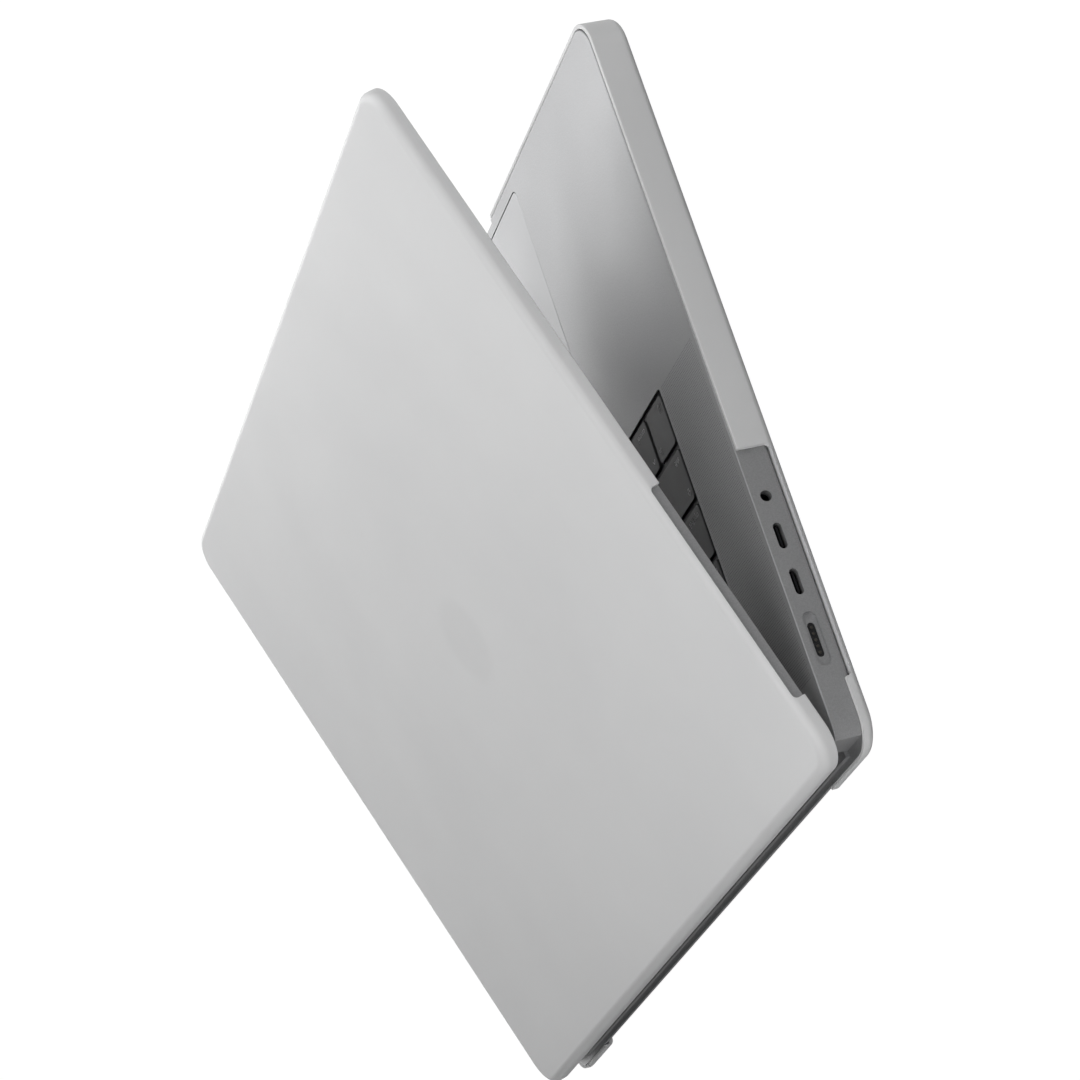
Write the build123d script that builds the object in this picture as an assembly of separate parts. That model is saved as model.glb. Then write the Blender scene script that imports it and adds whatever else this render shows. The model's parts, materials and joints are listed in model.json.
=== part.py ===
"""A 16-inch laptop computer in a two-piece clip-on shell, one STEP file per sub-part, in millimetres.

The frame has +X to the user's right, +Y to the rear and +Z up. Its origin is on the desk, under the middle of the base.
The lid's pieces are drawn closed, then turned open about the hinge to the pose in which the part is stored.
"""

import math
import os

from build123d import *

# Driving dimensions of the laptop.
WIDTH = 355.7
DEPTH = 248.1
CORNER_R = 9.5
BASE_H = 10.8
WALL_T = 3.0
DECK_T = 1.6
BOTTOM_EDGE_R = 1.6
DECK_EDGE_R = 0.5
LID_T = 4.0
LID_GAP = 0.4
LID_BACK_T = 1.2

# The two-piece plastic shell around it.
SHELL_T = 1.6
SHELL_GAP = 0.2
SHELL_FOOT_H = 1.2
SHELL_FOOT_R = 5.5
BASE_SHELL_EDGE_R = 2.4
LID_SHELL_EDGE_R = 3.0
SHELL_RIM_R = 0.4
PORT_CUT_Y = (27.0, 103.0)
REAR_CUT_X = 141.0
REAR_LOW_WALL_H = 2.0
BASE_SHELL_REAR_OUT = 1.1

# Heights of the main surfaces, worked out from the above.
METAL_Z = SHELL_FOOT_H + SHELL_T + SHELL_GAP
DECK_Z = METAL_Z + BASE_H
CEILING_Z = DECK_Z - DECK_T
LID_Z = DECK_Z + LID_GAP
LID_TOP_Z = LID_Z + LID_T
SHELL_TOP_Z = LID_TOP_Z + SHELL_GAP + SHELL_T
HALF_W = WIDTH / 2
HALF_D = DEPTH / 2
SHELL_OUT = SHELL_GAP + SHELL_T

# Hinge. The lid turns about a line along X, near the rear edge and just below the deck.
HINGE_Y = 122.0
HINGE_Z = DECK_Z - 1.5
HINGE_AXIS = Axis((0, HINGE_Y, HINGE_Z), (1, 0, 0))
REST_OPEN_DEG = 16.3
GUTTER_R = 5.9
GUTTER_HALF_L = 163.0
GUTTER_STEP_Y = HINGE_Y + 0.3
GUTTER_STEP_Z = METAL_Z + 2.1
CORNER_STEP_Y = HINGE_Y - 1.6
BARREL_R = 4.8
BARREL_HALF_L = 142.0
KNUCKLE_X = (146.0, 158.0)
KNUCKLE_R = 2.9
KNUCKLE_POCKET_R = 3.15
SHAFT_R = 2.0
SHAFT_CLEARANCE = 0.05
SHAFT_X = (126.0, 157.0)
BRACKET_FOOT_Y = (116.6, 120.4)
BRACKET_FOOT_Z = 6.6
HINGE_SCREW_R = 0.9

# Bottom cover and the cavity above it.
LEDGE_INSET = 8.0
LEDGE_T = 1.1
COVER_T = 1.2
COVER_INSET = 5.0
COVER_GAP = 0.1
CAVITY_Z = METAL_Z + COVER_T + COVER_GAP + LEDGE_T
CAVITY_REAR_Y = 114.4
COVER_TOP_Z = METAL_Z + COVER_T
COVER_SCREW_INSET = 6.9
COVER_SCREW_R = 0.8
COVER_SCREW_HEAD_R = 1.3
RUBBER_FOOT_R = 7.0
RUBBER_FOOT_H = 1.0
RUBBER_FOOT_AT = (140.0, 92.0)
SHELL_FOOT_AT = (163.0, 109.0)

# Keyboard.
KEY_PITCH_X = 19.05
KEY_PITCH_Y = 19.0
KEY_GAP = 2.2
KEY_T = 1.0
KEY_R = 1.5
KEY_TOP_R = 0.2
KEY_CLEARANCE = 0.35
ROW_UNITS = 14.5
WELL_MARGIN = 0.45
WELL_W = ROW_UNITS * KEY_PITCH_X + 2 * WELL_MARGIN
WELL_D = 6 * KEY_PITCH_Y + 2 * WELL_MARGIN
WELL_FRONT_Y = -HALF_D + 110.4
WELL_R = 1.8
WELL_Y = WELL_FRONT_Y + WELL_D / 2
WEB_TOP_Z = DECK_Z - 0.6
BACKPLATE_Z = DECK_Z - 4.4
BACKPLATE_T = 0.4
SCISSOR_H = 1.7
SCISSOR_OUT = 12.0
SCISSOR_IN = 8.0

# Trackpad.
PAD_W = 153.0
PAD_D = 97.0
PAD_R = 3.0
PAD_T = 1.2
PAD_SINK = 0.05
PAD_CLEARANCE = 0.3
PAD_FRONT = 5.25
PAD_Y = -HALF_D + PAD_FRONT + PAD_D / 2
PAD_BRACKET_T = 0.8
PAD_BRACKET_TOP_Z = DECK_Z - PAD_SINK - PAD_T - 0.5
SCOOP_W = 92.0

# Sockets. Each distance is from the rear edge to the middle of the socket.
PORT_Z = METAL_Z + 6.0
HEADPHONE_Y = HALF_D - 81.3
USB_FRONT_Y = HALF_D - 68.2
USB_REAR_Y = HALF_D - 53.2
POWER_Y = HALF_D - 34.7
HDMI_Y = HALF_D - 37.0
USB_RIGHT_Y = HALF_D - 56.0
CARD_Y = HALF_D - 81.0
HEADPHONE_R = 1.8
HEADPHONE_DEPTH = 15.0
USB_SIZE = (8.4, 2.7)
USB_DEPTH = 8.0
POWER_RECESS = (17.4, 4.6)
POWER_RECESS_DEPTH = 1.1
POWER_STRIP = (11.0, 2.4)
POWER_PINS = 5
POWER_PIN_PITCH = 2.0
HDMI_SIZE = (14.6, 4.9)
HDMI_DEPTH = 11.0
CARD_SIZE = (24.6, 2.6)
CARD_DEPTH = 20.0

# Cooling.
FAN_X = 112.0
FAN_Y = 76.0
FAN_R = 28.0
FAN_HUB_R = 9.0
FAN_BLADES = 31
FAN_Z = (CAVITY_Z - 0.6, CAVITY_Z + 4.0)
FIN_COUNT = 30
FIN_PITCH = 1.6

# Logic board and processor.
BOARD_Z = (CAVITY_Z + 2.8, CAVITY_Z + 3.9)
BOARD_REAR_Y = 105.0
PROCESSOR_T = 1.5
SPEAKER_Y = 3.5

# Display stack, measured down from the lid's open face when it is closed.
RIM = 2.0
GASKET_W = 1.0
GLASS_SINK = 0.2
GLASS_T = 0.7
PANEL_T = 1.3
PANEL_INSET = 4.5
GLASS_REAR_Y = 113.0
NOTCH_W = 26.0
NOTCH_D = 5.5
BADGE_R = 15.0
BADGE_T = 0.2


def block(x0, x1, y0, y1, z0, z1):
    """A box between three pairs of limits."""
    centre = Pos((x0 + x1) / 2, (y0 + y1) / 2, (z0 + z1) / 2)
    return centre * Box(abs(x1 - x0), abs(y1 - y0), abs(z1 - z0))


def slab(width, depth, radius, z0, z1, x=0.0, y=0.0):
    """A flat plate with rounded corners, standing between two heights."""
    return Pos(x, y, z0) * extrude(RectangleRounded(width, depth, radius), z1 - z0)


def outline_slab(grow, z0, z1):
    """A slab of the laptop's outline, grown outwards or, if negative, inwards."""
    return slab(WIDTH + 2 * grow, DEPTH + 2 * grow, max(CORNER_R + grow, 1.0), z0, z1)


def rod_x(y, z, radius, x0, x1):
    """A round rod along X."""
    return Pos((x0 + x1) / 2, y, z) * Rot(0, 90, 0) * Cylinder(radius, abs(x1 - x0))


def disc(x, y, radius, z0, z1):
    """A round disc standing between two heights."""
    return Pos(x, y, (z0 + z1) / 2) * Cylinder(radius, z1 - z0)


def slot_x(y, z, size, x0, x1):
    """A round-ended bar that runs along X and is long in Y."""
    face = Plane(origin=(min(x0, x1), y, z), x_dir=(0, 1, 0), z_dir=(1, 0, 0)) * SlotOverall(*size)
    return extrude(face, abs(x1 - x0))


def box_slot_x(y, z, size, x0, x1, radius):
    """A bar with lightly rounded corners that runs along X."""
    plane = Plane(origin=(min(x0, x1), y, z), x_dir=(0, 1, 0), z_dir=(1, 0, 0))
    return extrude(plane * RectangleRounded(size[0], size[1], radius), abs(x1 - x0))


def bottom_edges(shape):
    """The edges in a shape's lowest plane."""
    return shape.edges().group_by(Axis.Z)[0]


def top_edges(shape):
    """The edges in a shape's highest plane."""
    return shape.edges().group_by(Axis.Z)[-1]


def both_sides(shape):
    """A shape and its mirror image across the middle of the laptop."""
    return [shape, shape.mirror(Plane.YZ)]


def four_corners(at):
    """The four points that lie at the same distances from the middle."""
    return [(sx * at[0], sy * at[1]) for sx in (-1, 1) for sy in (-1, 1)]


def opened(shape):
    """A piece of the lid, turned from closed to the stored pose."""
    return shape.rotate(HINGE_AXIS, -REST_OPEN_DEG)


def save(shape, node):
    """Write one sub-part; a list is kept as a group of separate solids."""
    if isinstance(shape, list):
        shape = Compound(shape)
    export_step(shape, f"parts/{node}.step")


# Base.


def gutter():
    """The channel in which the hinge barrel turns, and the steps behind it for the lid's rear edge."""
    end = HALF_W + SHELL_OUT + 1
    inner = GUTTER_HALF_L
    cuts = rod_x(HINGE_Y, HINGE_Z, GUTTER_R, -inner, inner)
    cuts += block(-end, end, GUTTER_STEP_Y, HALF_D + 5, GUTTER_STEP_Z, SHELL_TOP_Z)
    for side in (-1, 1):
        x0, x1 = side * (inner - 0.5), side * end
        cuts += block(x0, x1, CORNER_STEP_Y, HALF_D + 5, GUTTER_STEP_Z, SHELL_TOP_Z)
    return cuts


def cavity():
    """The space inside the base, in two steps that leave a ledge for the bottom cover."""
    inset = HALF_D - WALL_T
    middle = (CAVITY_REAR_Y - inset) / 2
    depth = CAVITY_REAR_Y + inset
    upper = slab(WIDTH - 2 * WALL_T, depth, CORNER_R - WALL_T, CAVITY_Z, CEILING_Z, y=middle)
    lower_front = -HALF_D + LEDGE_INSET
    lower_rear = CAVITY_REAR_Y - 2.0
    lower_y = (lower_front + lower_rear) / 2
    lower = slab(
        WIDTH - 2 * LEDGE_INSET, lower_rear - lower_front, 4.0, METAL_Z, CAVITY_Z + 1, y=lower_y
    )
    recess = outline_slab(-COVER_INSET + COVER_GAP, METAL_Z - 1, COVER_TOP_Z + COVER_GAP)
    return upper + lower + recess


def left_sockets():
    """The openings in the left wall."""
    outside = -HALF_W - 1
    inside = -HALF_W + WALL_T + 0.5
    cuts = rod_x(HEADPHONE_Y, PORT_Z, HEADPHONE_R, outside, inside)
    cuts += slot_x(USB_FRONT_Y, PORT_Z, USB_SIZE, outside, inside)
    cuts += slot_x(USB_REAR_Y, PORT_Z, USB_SIZE, outside, inside)
    cuts += slot_x(POWER_Y, PORT_Z, POWER_RECESS, outside, -HALF_W + POWER_RECESS_DEPTH)
    cuts += slot_x(POWER_Y, PORT_Z, POWER_STRIP, outside, inside)
    return cuts


def right_sockets():
    """The openings in the right wall."""
    outside = HALF_W + 1
    inside = HALF_W - WALL_T - 0.5
    cuts = box_slot_x(HDMI_Y, PORT_Z, HDMI_SIZE, inside, outside, 1.2)
    cuts += slot_x(USB_RIGHT_Y, PORT_Z, USB_SIZE, inside, outside)
    cuts += box_slot_x(CARD_Y, PORT_Z, CARD_SIZE, inside, outside, 0.6)
    return cuts


def rear_vents():
    """Slots through which the fin stacks blow into the gutter."""
    slots = []
    for side in (-1, 1):
        for i in range(10):
            x = side * (62.0 + 5.6 * i)
            slots.append(block(x - 2.0, x + 2.0, CAVITY_REAR_Y - 1, HINGE_Y - 3, 7.6, 9.8))
    return slots


def finger_scoop():
    """The hollow at the middle of the front edge where a fingertip lifts the lid."""
    return Pos(0, -HALF_D - 3.2, DECK_Z + 1.2) * Rot(0, 90, 0) * Cylinder(5.0, SCOOP_W)


def cover_screw_points():
    """Eight screws around the bottom cover."""
    x = HALF_W - COVER_SCREW_INSET
    y = HALF_D - COVER_SCREW_INSET
    front_rear = [(sx * 70.0, sy * y) for sx in (-1, 1) for sy in (-1, 1)]
    sides = [(sx * x, sy * 62.0) for sx in (-1, 1) for sy in (-1, 1)]
    return front_rear + sides


def hinge_bracket(side):
    """A knuckle that grips the hinge shaft, on a foot let into the base."""
    x0, x1 = (side * x for x in KNUCKLE_X)
    body = rod_x(HINGE_Y, HINGE_Z, KNUCKLE_R, x0, x1)
    body -= block(-WIDTH, WIDTH, HALF_D - 0.2, HALF_D + 5, 0, SHELL_TOP_Z)
    body += block(x0, x1, *BRACKET_FOOT_Y, BRACKET_FOOT_Z, HINGE_Z)
    body -= rod_x(HINGE_Y, HINGE_Z, SHAFT_R + SHAFT_CLEARANCE, x0 * 0.9, x1 * 1.1)
    for x, y in hinge_screw_points(side):
        body -= disc(x, y, HINGE_SCREW_R, BRACKET_FOOT_Z - 1, BRACKET_FOOT_Z + 2.5)
    return body


def hinge_screw_points(side):
    """Two screws that hold each bracket from below."""
    y = sum(BRACKET_FOOT_Y) / 2
    return [(side * (KNUCKLE_X[0] + 3.0), y), (side * (KNUCKLE_X[1] - 3.0), y)]


def hinge_screw(x, y):
    """A flat-headed screw that passes up through the base into a bracket's foot."""
    head = disc(x, y, HINGE_SCREW_R * 1.7, COVER_TOP_Z + COVER_GAP, COVER_TOP_Z + 0.9)
    return head + disc(x, y, HINGE_SCREW_R, COVER_TOP_Z + 0.5, BRACKET_FOOT_Z + 2.4)


def top_case():
    """The milled body: deck, walls and the ledge under them."""
    body = outline_slab(0, METAL_Z, DECK_Z)
    body = fillet(bottom_edges(body), BOTTOM_EDGE_R)
    body = fillet(top_edges(body), DECK_EDGE_R)
    body -= cavity()
    body -= gutter()
    body -= slab(WELL_W, WELL_D, WELL_R, CEILING_Z - 1, DECK_Z + 1, y=WELL_Y)
    pad_hole = (PAD_W + 2 * PAD_CLEARANCE, PAD_D + 2 * PAD_CLEARANCE, PAD_R + PAD_CLEARANCE)
    body -= slab(*pad_hole, CEILING_Z - 1, DECK_Z + 1, y=PAD_Y)
    body -= left_sockets()
    body -= right_sockets()
    body -= rear_vents()
    body -= finger_scoop()
    for x, y in cover_screw_points():
        body -= disc(x, y, COVER_SCREW_R, METAL_Z, CAVITY_Z + 0.4)
    for side in (-1, 1):
        x0, x1 = (side * x for x in KNUCKLE_X)
        body -= block(x0, x1, *BRACKET_FOOT_Y, BRACKET_FOOT_Z, DECK_Z + 1)
        for x, y in hinge_screw_points(side):
            body -= hinge_screw(x, y)
    return body


def bottom_cover():
    """The flat plate that closes the base from below."""
    cover = outline_slab(-COVER_INSET, METAL_Z, COVER_TOP_Z)
    cover = fillet(bottom_edges(cover), 0.3)
    for x, y in cover_screw_points():
        cover -= disc(x, y, COVER_SCREW_HEAD_R, METAL_Z - 1, COVER_TOP_Z + 1)
    return cover


def bottom_cover_screws():
    """Screws with flat heads, flush with the cover."""
    screws = []
    for x, y in cover_screw_points():
        head = disc(x, y, COVER_SCREW_HEAD_R, METAL_Z, COVER_TOP_Z)
        head -= block(x - 0.8, x + 0.8, y - 0.15, y + 0.15, METAL_Z - 1, METAL_Z + 0.3)
        screws.append(head + disc(x, y, COVER_SCREW_R, COVER_TOP_Z - 0.2, CAVITY_Z))
    return screws


def rubber_feet():
    """The laptop's own feet, which sit in holes in the shell."""
    return [
        fillet(bottom_edges(disc(x, y, RUBBER_FOOT_R, METAL_Z - RUBBER_FOOT_H, METAL_Z)), 0.4)
        for x, y in four_corners(RUBBER_FOOT_AT)
    ]


# Keyboard.

KEY_ROWS = (
    (
        ("key_fn", 1),
        ("key_control", 1),
        ("key_bottom_row", 1),
        ("key_bottom_row", 1.25),
        ("key_space", 5),
        ("key_bottom_row", 1.25),
        ("key_bottom_row", 1),
    ),
    (("key_shift_left", 2.25), *[("key_lower_letters", 1)] * 10, ("key_lower_letters", 2.25)),
    (("key_caps_lock", 1.75), *[("key_home_letters", 1)] * 11, ("key_home_letters", 1.75)),
    (("key_tab", 1.5), *[("key_upper_letters", 1)] * 13),
    (*[("key_number_row", 1)] * 13, ("key_number_row", 1.5)),
    (("key_function_row", 1.5), *[("key_function_row", 1)] * 12, ("key_power", 1)),
)


def arrow_places(x, y):
    """Four half-height arrow keys: left, down and right in front, and up behind."""
    half = (KEY_PITCH_Y - KEY_GAP) / 2 - 0.4
    low_y = y - KEY_PITCH_Y / 2 + KEY_GAP / 2 + half / 2
    high_y = y + KEY_PITCH_Y / 2 - KEY_GAP / 2 - half / 2
    width = KEY_PITCH_X - KEY_GAP
    places = [("key_arrows", x + KEY_PITCH_X * (i + 0.5), low_y, width, half) for i in range(3)]
    places.append(("key_arrows", x + KEY_PITCH_X * 1.5, high_y, width, half))
    return places


def key_places():
    """Each key as (node, x, y, width, depth), from the front row to the rear row."""
    places = []
    left = -ROW_UNITS * KEY_PITCH_X / 2
    for row, keys in enumerate(KEY_ROWS):
        x = left
        y = WELL_FRONT_Y + WELL_MARGIN + (row + 0.5) * KEY_PITCH_Y
        for node, units in keys:
            step = units * KEY_PITCH_X
            places.append((node, x + step / 2, y, step - KEY_GAP, KEY_PITCH_Y - KEY_GAP))
            x += step
        if row == 0:
            places += arrow_places(x, y)
    return places


def keycap(x, y, width, depth):
    """A flat key with rounded corners and a softened top edge."""
    cap = slab(width, depth, KEY_R, DECK_Z - KEY_T, DECK_Z, x, y)
    return fillet(top_edges(cap), KEY_TOP_R)


def scissor(x, y, depth):
    """The square lifting frame under one key, at its pressed height."""
    low = BACKPLATE_Z + BACKPLATE_T
    out_d = min(SCISSOR_OUT, depth - 2)
    in_d = min(SCISSOR_IN, depth - 5)
    middle = Pos(x, y, low + SCISSOR_H / 2)
    return middle * (Box(SCISSOR_OUT, out_d, SCISSOR_H) - Box(SCISSOR_IN, in_d, SCISSOR_H))


def keyboard_web():
    """The thin black plate in the well, with a hole for each key."""
    sheet = RectangleRounded(WELL_W, WELL_D, WELL_R)
    holes = [
        Pos(x, y - WELL_Y)
        * RectangleRounded(w + 2 * KEY_CLEARANCE, d + 2 * KEY_CLEARANCE, KEY_R + KEY_CLEARANCE)
        for _, x, y, w, d in key_places()
    ]
    return Pos(0, WELL_Y, CEILING_Z) * extrude(sheet - holes, WEB_TOP_Z - CEILING_Z)


def keyboard_backplate():
    """The steel sheet that the key mechanisms stand on, with its rim turned up to the web."""
    top = BACKPLATE_Z + BACKPLATE_T
    plate = slab(WELL_W - 2, WELL_D - 2, 1.0, BACKPLATE_Z, CEILING_Z, y=WELL_Y)
    return plate - slab(WELL_W - 3, WELL_D - 3, 0.6, top, CEILING_Z + 1, y=WELL_Y)


def key_nodes():
    """The keycaps, gathered by node."""
    nodes = {}
    for node, *place in key_places():
        nodes.setdefault(node, []).append(keycap(*place))
    return nodes


# Trackpad.


def trackpad():
    """The glass plate that is pressed."""
    top = DECK_Z - PAD_SINK
    return fillet(top_edges(slab(PAD_W, PAD_D, PAD_R, top - PAD_T, top, y=PAD_Y)), 0.2)


def trackpad_bracket():
    """The frame that hangs from the deck's underside and carries the trackpad."""
    top = PAD_BRACKET_TOP_Z
    low = top - PAD_BRACKET_T
    frame = slab(PAD_W + 14, PAD_D - 4, 3.0, low, top, y=PAD_Y + 4)
    frame -= slab(PAD_W - 60, PAD_D - 50, 4.0, low - 1, top + 1, y=PAD_Y + 4)
    for side in (-1, 1):
        x0, x1 = (side * x for x in (PAD_W / 2 + 2, PAD_W / 2 + 7))
        frame += block(x0, x1, PAD_Y - 35, PAD_Y + 35, low, CEILING_Z)
    return frame


def haptic_motor():
    """The linear motor under the trackpad."""
    top = PAD_BRACKET_TOP_Z - PAD_BRACKET_T
    return slab(44, 18, 2.0, top - 2.6, top, y=PAD_Y + 38)


# Inner parts of the base.


def battery_cells():
    """Flat pouches: one each side of the trackpad and four in a row behind it."""
    low = COVER_TOP_Z + 0.4
    cells = []
    for side in (-1, 1):
        cells.append(slab(76, 92, 3.0, low, low + 6.4, side * 128.0, PAD_Y + 2))
        for x in (34.5, 103.5):
            cells.append(slab(66, 52, 3.0, low, low + 4.4, side * x, 9.5))
    return [fillet(top_edges(cell), 0.8) for cell in cells]


def fan_place(side):
    """Where a fan's axis stands."""
    return side * FAN_X, FAN_Y


def logic_board():
    """The board between and around the fans, with arms to the sockets."""
    low, top = BOARD_Z
    board = block(-80, 80, 40, BOARD_REAR_Y, low, top)
    board += block(-HALF_W + 24, HALF_W - 24, 38.0, 46.0, low, top)
    for side in (-1, 1):
        board += block(side * 142.0, side * (HALF_W - 24), 38.0, 98.0, low, top)
    for i in range(8):
        x = -70.0 + 20.0 * i
        board += block(x - 5, x + 5, 48, 56, low - 1.0, low)
    for side in (-1, 1):
        for i in range(3):
            board += block(side * 34, side * 46, 60 + 13 * i, 70 + 13 * i, low - 1.2, low)
    return board


def processor():
    """The processor package under the middle of the board."""
    return slab(42, 30, 1.0, BOARD_Z[0] - PROCESSOR_T, BOARD_Z[0], y=76)


def heat_pipes():
    """Two flat pipes from the processor to the fin stacks."""
    top = BOARD_Z[0] - PROCESSOR_T
    pipes = []
    for y in (70.0, 82.0):
        pipes.append(slab(150, 7, 3.0, top - 1.2, top, y=y))
    spreader = [block(s * 66, s * 74, 73.4, 78.6, top - 1.2, top) for s in (-1, 1)]
    return pipes[0] + pipes[1] + spreader


def fin_stacks():
    """A comb of thin fins in front of each row of vents."""
    stacks = []
    for side in (-1, 1):
        x0 = side * 62.0
        length = FIN_PITCH * FIN_COUNT
        comb = block(x0 - side, x0 + side * (length + 0.4), 106.5, CAVITY_REAR_Y, 6.0, 6.6)
        for i in range(FIN_COUNT):
            x = x0 + side * FIN_PITCH * i
            comb += block(x, x + side * 0.4, 106.5, CAVITY_REAR_Y, 6.6, 9.8)
        stacks.append(comb)
    return stacks


def fan_housing(side):
    """A drum with an inlet in its floor and an outlet towards the fins."""
    x, y = fan_place(side)
    low, top = FAN_Z
    drum = disc(x, y, FAN_R, low, top) - disc(x, y, FAN_R - 0.8, low + 0.5, top - 0.5)
    drum -= disc(x, y, FAN_R * 0.55, low - 1, low + 1)
    x0, x1 = x - side * 24, x + side * 4
    drum -= block(x0, x1, y + 12, y + FAN_R + 2, low + 0.5, top - 0.5)
    return drum + disc(x, y, 1.4, top - 2.5, top)


def fan_rotor(side):
    """A hub with a ring of swept blades, on the housing's pin."""
    x, y = fan_place(side)
    low, top = FAN_Z[0] + 0.9, FAN_Z[1] - 0.9
    rotor = disc(0, 0, FAN_HUB_R, low, top)
    blade = Pos(0, 0, low) * extrude(Pos(17.0, 0) * Rot(0, 0, 14) * Rectangle(17.5, 0.5), top - low)
    rotor += [Rot(0, 0, 360 * i / FAN_BLADES) * blade for i in range(FAN_BLADES)]
    rotor -= disc(0, 0, 1.45, low - 1, top + 1)
    return Pos(x, y, 0) * rotor


def speaker(side):
    """A sealed speaker box beside the battery, with an oval cone under the deck."""
    body = slab(26, 50, 4.0, CAVITY_Z + 0.3, CEILING_Z - 1.0, side * 158.0, SPEAKER_Y)
    cone = extrude(Pos(side * 158.0, SPEAKER_Y, CEILING_Z - 1.0) * SlotOverall(36, 15, rotation=90), 0.5)
    return body + cone


def display_cable():
    """The ribbon that runs from the board to the rear wall, below the hinge barrel."""
    low = BOARD_Z[0] + 0.4
    return block(-18, 6, BOARD_REAR_Y, CAVITY_REAR_Y, low, low + 0.3)


# Sockets.


def headphone_jack():
    """A block with a round bore behind the wall."""
    x0 = -HALF_W + WALL_T
    x1 = -HALF_W + HEADPHONE_DEPTH
    body = block(x0, x1 + 1.0, HEADPHONE_Y - 3, HEADPHONE_Y + 3, PORT_Z - 2.8, PORT_Z + 2.8)
    return body - rod_x(HEADPHONE_Y, PORT_Z, HEADPHONE_R, x0 - 1, x1)


def usb_c_port(side, y):
    """A round-ended metal sleeve with a flat tongue inside."""
    x0 = side * (HALF_W - WALL_T)
    x1 = side * (HALF_W - WALL_T - USB_DEPTH)
    sleeve = slot_x(y, PORT_Z, (USB_SIZE[0] + 0.8, USB_SIZE[1] + 0.8), x0, x1)
    sleeve -= slot_x(y, PORT_Z, USB_SIZE, x0, x1 + side * 0.8)
    tongue = block(x1, x0 + side * 2.0, y - 3.3, y + 3.3, PORT_Z - 0.35, PORT_Z + 0.35)
    return sleeve + tongue


def magnetic_power_port():
    """A black insert with five contacts, set into the bottom of the wall's recess."""
    face = -HALF_W + POWER_RECESS_DEPTH + 0.3
    back = -HALF_W + WALL_T
    body = slot_x(POWER_Y, PORT_Z, POWER_STRIP, face, back)
    body += slot_x(POWER_Y, PORT_Z, (15.0, 5.0), back, back + 7.0)
    for i in range(POWER_PINS):
        y = POWER_Y + POWER_PIN_PITCH * (i - (POWER_PINS - 1) / 2)
        body += rod_x(y, PORT_Z, 0.55, face - 0.35, face + 1)
    return body


def hdmi_port():
    """A rectangular metal sleeve with a flat tongue inside."""
    x0 = HALF_W - WALL_T
    x1 = x0 - HDMI_DEPTH
    size = (HDMI_SIZE[0] + 0.8, HDMI_SIZE[1] + 0.8)
    sleeve = box_slot_x(HDMI_Y, PORT_Z, size, x1, x0, 1.4)
    sleeve -= box_slot_x(HDMI_Y, PORT_Z, HDMI_SIZE, x1 + 0.8, x0 + 1, 1.2)
    tongue = block(x1, x0, HDMI_Y - 5.5, HDMI_Y + 5.5, PORT_Z - 0.6, PORT_Z + 0.6)
    return sleeve + tongue


def card_slot():
    """A flat metal sleeve for a memory card."""
    x0 = HALF_W - WALL_T
    x1 = x0 - CARD_DEPTH
    size = (CARD_SIZE[0] + 1.0, CARD_SIZE[1] + 1.0)
    sleeve = box_slot_x(CARD_Y, PORT_Z, size, x1, x0, 0.8)
    return sleeve - box_slot_x(CARD_Y, PORT_Z, CARD_SIZE, x1 + 1.0, x0 + 1, 0.6)


# Shell around the base.


def base_shell_cuts():
    """The gaps in the shell's wall for the sockets, the hinge and the lid's rear edge."""
    low = METAL_Z
    out = HALF_W + SHELL_OUT + 1
    y0, y1 = PORT_CUT_Y
    cuts = []
    for side in (-1, 1):
        window = box_slot_x(
            (y0 + y1) / 2, low + 10, (y1 - y0, 20), side * (HALF_W - 3), side * out, 1.6
        )
        low_wall = METAL_Z + REAR_LOW_WALL_H
        cuts.append(window)
        cuts.append(block(side * (HALF_W - 3), side * out, y1 - 1, HALF_D + 3, low_wall, DECK_Z + 1))
    cuts.append(block(-out, out, HALF_D - 14, HALF_D + 3, METAL_Z + REAR_LOW_WALL_H, DECK_Z + 1))
    cuts.append(block(-REAR_CUT_X, REAR_CUT_X, HALF_D - 4.5, HALF_D + 3, 0, DECK_Z + 1))
    return cuts


def shell_vents():
    """Rows of slots in the shell's floor, under the fans and the speakers."""
    slots = []
    for side in (-1, 1):
        for i in range(9):
            slots.append(slab(34, 3.0, 1.49, 0, METAL_Z, side * FAN_X, 56.0 + 5.0 * i))
        for i in range(5):
            slots.append(slab(16, 3.0, 1.49, 0, METAL_Z, side * 158.0, -6.0 + 6.0 * i))
    return slots


def base_shell():
    """The lower half of the clip-on shell."""
    rear_thinner = SHELL_OUT - BASE_SHELL_REAR_OUT
    width, depth = WIDTH + 2 * SHELL_OUT, DEPTH + 2 * SHELL_OUT - rear_thinner
    body = slab(width, depth, CORNER_R + SHELL_OUT, SHELL_FOOT_H, DECK_Z - 0.3, y=-rear_thinner / 2)
    body = fillet(bottom_edges(body), BASE_SHELL_EDGE_R)
    body -= outline_slab(SHELL_GAP, SHELL_FOOT_H + SHELL_T, DECK_Z + 1)
    body = fillet(top_edges(body), SHELL_RIM_R)
    body -= base_shell_cuts()
    body -= finger_scoop()
    body -= shell_vents()
    for x, y in four_corners(RUBBER_FOOT_AT):
        body -= disc(x, y, RUBBER_FOOT_R + 0.5, 0, METAL_Z)
    return body


def shell_feet():
    """Four small rubber feet under the shell."""
    feet = []
    for x, y in four_corners(SHELL_FOOT_AT):
        feet.append(fillet(bottom_edges(disc(x, y, SHELL_FOOT_R, 0, SHELL_FOOT_H)), 0.5))
    return feet


# Lid, drawn closed.


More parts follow.
